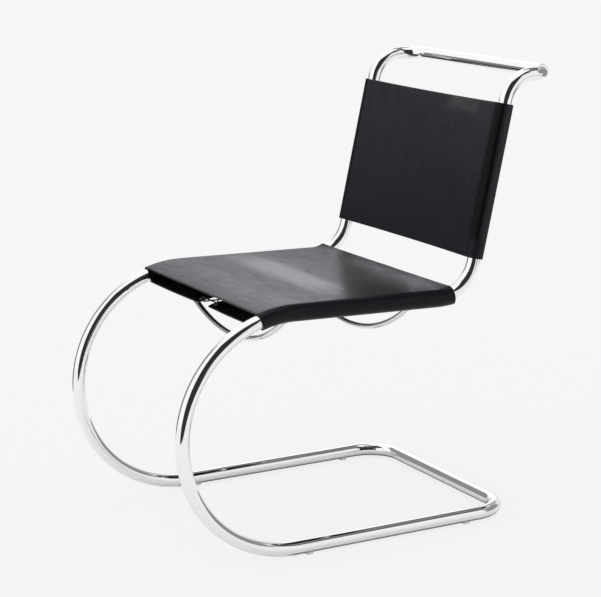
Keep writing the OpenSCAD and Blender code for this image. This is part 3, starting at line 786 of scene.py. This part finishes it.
def sling(name, low, high, shape):
    """A closed sheet round both tubes. shape shifts each point across, along and away from the tube."""
    half = section()
    rows = [(-x, h, (-out[0], out[1]), d) for x, h, out, d in half]
    rows += list(reversed(half[:-1]))
    stations = spread(low, high, SHEET_STEP)
    across, along = len(rows), len(stations)
    outer, inner = [], []
    for s in stations:
        edge = min(s - low, high - s)
        for x, h, out, d in rows:
            t = half_thickness(min(edge, d))
            dx, ds, dh = shape(x, s, h, d)
            outer.append(spot(x + dx + out[0] * t, s + ds, h + dh + out[1] * t))
            inner.append(spot(x + dx - out[0] * t, s + ds, h + dh - out[1] * t))
    count = len(outer)
    faces, rims = [], []
    for j in range(along - 1):
        for i in range(across - 1):
            a = j * across + i
            faces.append((a, a + 1, a + across + 1, a + across))
            faces.append((count + a, count + a + across, count + a + across + 1, count + a + 1))
    loop = list(range(across)) + [j * across + across - 1 for j in range(1, along)]
    loop += [(along - 1) * across + i for i in range(across - 2, -1, -1)]
    loop += [j * across for j in range(along - 2, 0, -1)]
    for a, b in zip(loop, loop[1:] + loop[:1]):
        rims.append((a, count + a, count + b, b))
    body = new_mesh(name, outer + inner, faces + rims, [LEATHER, LEATHER_EDGE], 50)
    for face in body.data.polygons[len(faces):]:
        face.material_index = 1
    return body


def lace_holes(stations):
    return [pin(EYELET_R + HOLE_SLACK, -2 * LEATHER_T, 2 * LEATHER_T, EYELET_SIDES,
                at_station(s, side * EYELET_X, FLAP_H)) for s in stations for side in (-1, 1)]


def bar_slots(s):
    """Rounded slots through which a bar leaves the seat leather."""
    arc_r, centre_h = bar_arc()
    wrap_out = TUBE_R + WRAP_SLACK + LEATHER_T
    dip = math.sin(math.radians(BAR_DIP))
    low = math.sqrt((arc_r - BAR_R) ** 2 - (centre_h + wrap_out) ** 2) - BAR_R * dip
    high = SIDE_X - (TUBE_R - BAR_R) * dip
    wide, deep, r = (high - low) / 2, SLOT_W / 2, SLOT_CORNER_R
    outline = []
    for cx, cy, start in ((wide - r, deep - r, 0), (r - wide, deep - r, 90),
                          (r - wide, r - deep, 180), (wide - r, r - deep, 270)):
        outline += [(cx + r * way(start + a)[0], cy + r * way(start + a)[1]) for a in range(0, 91, 15)]
    return [prism(outline, -LEATHER_T, LEATHER_T, at_station(s, side * (low + high) / 2, FLAP_H))
            for side in (-1, 1)]


def eyelet_stations(low, high, n):
    return [low + EYELET_END + i * (high - low - 2 * EYELET_END) / (n - 1) for i in range(n)]


SEAT_LACING = eyelet_stations(SEAT_FROM, SEAT_TO, SEAT_EYELETS)
BACK_LACING = eyelet_stations(BACK_FROM, BACK_TO, BACK_EYELETS)


def near_lacing(s, stations):
    """1 at an eyelet's station, falling to 0 halfway to the next."""
    pitch = stations[1] - stations[0]
    return 0.5 + 0.5 * math.cos(2 * math.pi * (s - stations[0]) / pitch)


def uneven(x, s, seed, scale):
    return noise.noise(Vector((x * scale, s * scale, seed)))


def laced_flap(x, s, d, stations, sag, seed):
    """A flap's shift across the chair and away from the tube: it is drawn in at each eyelet."""
    pull = near_lacing(s, stations)
    near = max(0.0, 1 - d / LACED_W)
    dx = math.copysign(EDGE_SCALLOP * (1 - pull) * near ** 2, x)
    dh = (-sag * math.sin(math.pi * min(1, d / FLAP_L)) + EYELET_LIFT * (pull - 0.5) * near
          + FLAP_WAVE * uneven(x, s, seed, 22))
    return dx, dh


def seat_shape(x, s, h, d):
    """Slightly crowned behind the hoops. At the rear the stiff leather bridges the start of the bend."""
    bridge = BACK_BEND_R * (1 - math.cos(max(0.0, s - SEAT_L) / BACK_BEND_R))
    rear = max(0.0, (s - SEAT_L + REAR_RUN) / (SEAT_REAR_LEAD + REAR_RUN)) ** 2
    if d < FLAP_L:
        dx, dh = laced_flap(x, s, d, SEAT_LACING, 0.0011, 3.1)
        free = min(1.0, max(0.0, (d - FREE_FROM) / FREE_RUN))
        return dx, -REAR_DRAW * rear * free, dh - FLAP_BRIDGE * bridge * free
    if h > TUBE_R:
        share = 1 - (x / SIDE_X) ** 4
        low, high = (0.0, CROWN_STATION) if s < CROWN_STATION else (SEAT_TO, CROWN_STATION)
        rise = min(1.0, max(0.0, (s - low) / (high - low)))
        dh = SEAT_CROWN * share * rise * rise * (3 - 2 * rise) + share * SEAT_WAVE * uneven(x, s, 7.7, 9)
        held = (x / SIDE_X) ** 8
        return 0.0, -CORNER_DRAW * rear * held, dh - SHEET_BRIDGE * bridge * (1 - held)
    under = min(1.0, max(0.0, (TUBE_R - h) / (TUBE_R - FLAP_H)))
    return 0.0, -rear * (REAR_DRAW * under + CORNER_DRAW * (1 - under)), -FLAP_BRIDGE * bridge * under


def back_shape(x, s, h, d):
    """Drawn in a little at both ends between the tubes, and slightly sagging."""
    middle = (BACK_FROM + BACK_TO) / 2
    ends = ((s - middle) / (BACK_TO - middle)) ** 3
    share = 1 - (x / SIDE_X) ** 2
    if d < FLAP_L:
        dx, dh = laced_flap(x, s, d, BACK_LACING, 0.0004, 5.3)
        return dx, -(BACK_NECK + FLAP_NECK) * share * ends, dh
    if h > TUBE_R:
        return 0.0, -BACK_NECK * share * ends, share * (BACK_WAVE * uneven(x, s, 1.9, 9) - BACK_SAG)
    return 0.0, 0.0, 0.0


def make_leather():
    seat = sling("SeatLeather", SEAT_FROM, SEAT_TO, seat_shape)
    cut(seat, lace_holes(SEAT_LACING) + bar_slots(FRONT_BAR_STATION) + bar_slots(REAR_BAR_STATION), 50)
    back = sling("BackLeather", BACK_FROM, BACK_TO, back_shape)
    cut(back, lace_holes(BACK_LACING), 50)
    for piece, node, length in ((seat, "seat_sling", SEAT_TO - SEAT_FROM),
                                (back, "back_sling", BACK_TO - BACK_FROM)):
        keep(piece, "black_leather", node)


# Eyelets and lacing
def eyelet_profile():
    """Round the section of a rolled eyelet: down its bore, and back over both rolled flanges."""
    bore, rim = EYELET_BORE_R, EYELET_R + FLANGE_W
    face, top = LEATHER_T / 2, LEATHER_T / 2 + FLANGE_GAP + FLANGE_T
    lip = [(bore, top - 0.0006), (bore + 0.0001, top - 0.0003), (bore + 0.0003, top - 0.00008),
           (bore + 0.0006, top), (rim - 0.0012, top - 0.00008), (rim - 0.0005, top - 0.0003),
           (rim - 0.0001, top - 0.00055), (rim, face + 0.00005), (rim - 0.0004, face + 0.00002),
           (EYELET_R + 0.0001, face + 0.00005), (EYELET_R, face - 0.0001)]
    return lip + [(r, -h) for r, h in reversed(lip)]


def make_eyelets():
    profile = eyelet_profile()
    for where, stations in (("Seat", SEAT_LACING), ("Back", BACK_LACING)):
        for hand, side in (("Left", 1), ("Right", -1)):
            parts = [lathe(profile, EYELET_SIDES, at_station(s, side * EYELET_X, FLAP_H)) for s in stations]
            piece = new_mesh(f"{where}Eyelets{hand}", *joined(parts), [shown["nickel_eyelet"]], 60)
            keep(piece, "nickel_eyelet", f"{where.lower()}_eyelets_{hand.lower()}")


def passage(side, s):
    """Points through one eyelet, from inside the sling to outside."""
    shares = ((1.3, 1), (0.45, 0.92), (0.04, 0.5), (0.04, -0.5), (0.45, -0.92), (1.3, -1))
    return [spot(side * (EYELET_X - back * CORD_H), s, FLAP_H + level * CORD_H) for back, level in shares]


def diagonal(side, s, next_s, level):
    """Points from outside at one eyelet to inside at the next one opposite."""
    out = []
    for across, over in ((0.3, 0.5), (0.5, 1), (0.7, 0.5)):
        x = side * (1 - 2 * across) * (EYELET_X - 1.3 * CORD_H)
        h = FLAP_H + (2 * across - 1) * CORD_H + level * over * (CORD_R + CORD_SLACK)
        out.append(spot(x, s + across * (next_s - s), h))
    return out


def strand(stations, first):
    points = []
    for i, s in enumerate(stations):
        side = first if i % 2 == 0 else -first
        points += passage(side, s)
        if i + 1 < len(stations):
            points += diagonal(side, s, stations[i + 1], first)
        else:
            tail = side * (EYELET_X - CORD_H - 10 * CORD_R)
            points.append(spot(tail, s + side * 2 * CORD_R, FLAP_H - CORD_H))
    return points


def curved(points, step):
    """Points a step apart on one smooth curve through the given ones."""
    out = [points[0]]
    for i in range(len(points) - 1):
        p0, p1, p2, p3 = (points[min(max(j, 0), len(points) - 1)] for j in (i - 1, i, i + 1, i + 2))
        if (p2 - p1).length < 1e-7:
            continue
        length = (p2 - p1).length
        before, after = max((p1 - p0).length, 1e-6), max((p3 - p2).length, 1e-6)
        slope1 = (p2 - p0) / (before + length) * length
        slope2 = (p3 - p1) / (after + length) * length
        n = max(1, round(length / step))
        for k in range(1, n + 1):
            t = k / n
            out.append((2 * t ** 3 - 3 * t ** 2 + 1) * p1 + (t ** 3 - 2 * t ** 2 + t) * slope1
                       + (3 * t ** 2 - 2 * t ** 3) * p2 + (t ** 3 - t ** 2) * slope2)
    return out


def plies(i, a):
    """The cord's radius as a share, at a step along it and an angle round it, as three plies wind."""
    return 1 - PLY_DEPTH * (0.5 - 0.5 * math.cos(3 * (a - i * CORD_STEP / CORD_LAY * 2 * math.pi / 3)))


def make_lacing():
    for name, node, stations in (("SeatLacingCord", "seat_lacing_cord", SEAT_LACING),
                                 ("BackLacingCord", "back_lacing_cord", BACK_LACING)):
        route = curved(list(reversed(strand(stations, -1))) + strand(stations, 1), CORD_STEP)
        radii = [CORD_R * 0.97] * len(route)
        radii[0] = radii[-1] = CORD_R * 0.7
        piece = new_mesh(name, *rod(route, radii, CORD_SIDES, (0, 1, 0), plies), [shown["lacing_cord"]], 70)
        keep(piece, "lacing_cord", node)


make_camera()
make_world()
make_floor()
make_card()

CHROME = chrome("PolishedChrome")
BAR_CHROME = chrome("BarChrome", 0.88, 0.04)
LEATHER = leather("BlackSaddleLeather")
LEATHER_EDGE = raw_edge("CutLeatherEdge")

shown = {
    "chromed_tube": CHROME,
    "chromed_bar": BAR_CHROME,
    "bare_steel": steel("DrawnSteel", (0.52, 0.52, 0.53), 0.34, (0.1, 1, 1)),
    "screw_steel": steel("ZincScrews", (0.62, 0.62, 0.63), 0.26),
    "black_leather": LEATHER,
    "nickel_eyelet": steel("NickelEyelets", (0.66, 0.65, 0.63), 0.22),
    "lacing_cord": waxed_cord("WaxedCord"),
    "clear_glide": clear_plastic("ClearGlide"),
}
for part in frame["record"]["subparts"]:
    node = frame["nodes"][part["node"]]
    node.data.materials.clear()
    node.data.materials.append(shown[part["material_slot"]])

make_frame()
make_bars()
make_leather()
make_eyelets()
make_lacing()

bpy.context.scene.view_settings.view_transform = "Standard"
